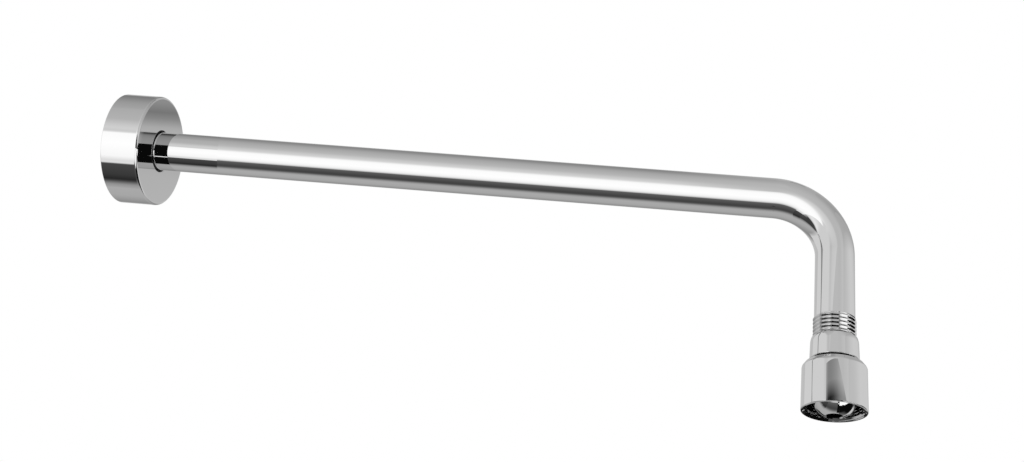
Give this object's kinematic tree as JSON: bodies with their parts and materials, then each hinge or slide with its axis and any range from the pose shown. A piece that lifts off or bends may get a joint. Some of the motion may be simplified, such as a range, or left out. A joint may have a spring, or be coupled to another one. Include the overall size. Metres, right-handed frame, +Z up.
{
  "type": "shower arm",
  "caption": "Bent chromed wall shower arm with a sliding round wall flange and a ball swivel nut that takes a shower head at its outlet.",
  "frame": {"origin": "on the axis of the arm's wall thread, in the plane of the wall where the flange's open back rests", "axes": "+X out of the wall along the arm, +Z up, so the leg hangs down along -Z"},
  "size_m": [0.4097, 0.06, 0.1457],
  "materials": {
    "polished_chrome": "polished chrome plating on brass",
    "black_rubber": "smooth moulded rubber",
    "black_nylon": "turned nylon"
  },
  "bodies": {
    "arm": {"arm_tube": "polished_chrome", "swivel_collar": "polished_chrome", "collar_washer": "black_rubber", "ball_stud": "polished_chrome", "stud_ring": "black_rubber"},
    "flange_grip": {"flange_ring": "black_rubber"},
    "flange": {"wall_flange": "polished_chrome"},
    "swivel_seat": {"seat_ring": "black_nylon"},
    "nut": {"swivel_nut": "polished_chrome"}
  },
  "joints": [
    {"name": "flange_slide", "type": "slide", "parent": "arm", "child": "flange_grip", "axis": [1, 0, 0], "range_m": [0, 0.3]},
    {"name": "flange_turn", "type": "hinge", "parent": "flange_grip", "child": "flange", "pos_m": [0, 0, 0], "axis": [1, 0, 0], "continuous": true},
    {"name": "nut_spin", "type": "hinge", "parent": "arm", "child": "swivel_seat", "pos_m": [0.386, 0, -0.105], "axis": [0, 0, 1], "continuous": true},
    {"name": "nut_tilt", "type": "hinge", "parent": "swivel_seat", "child": "nut", "pos_m": [0.386, 0, -0.105], "axis": [0, 1, 0], "range_deg": [-6, 6]}
  ]
}
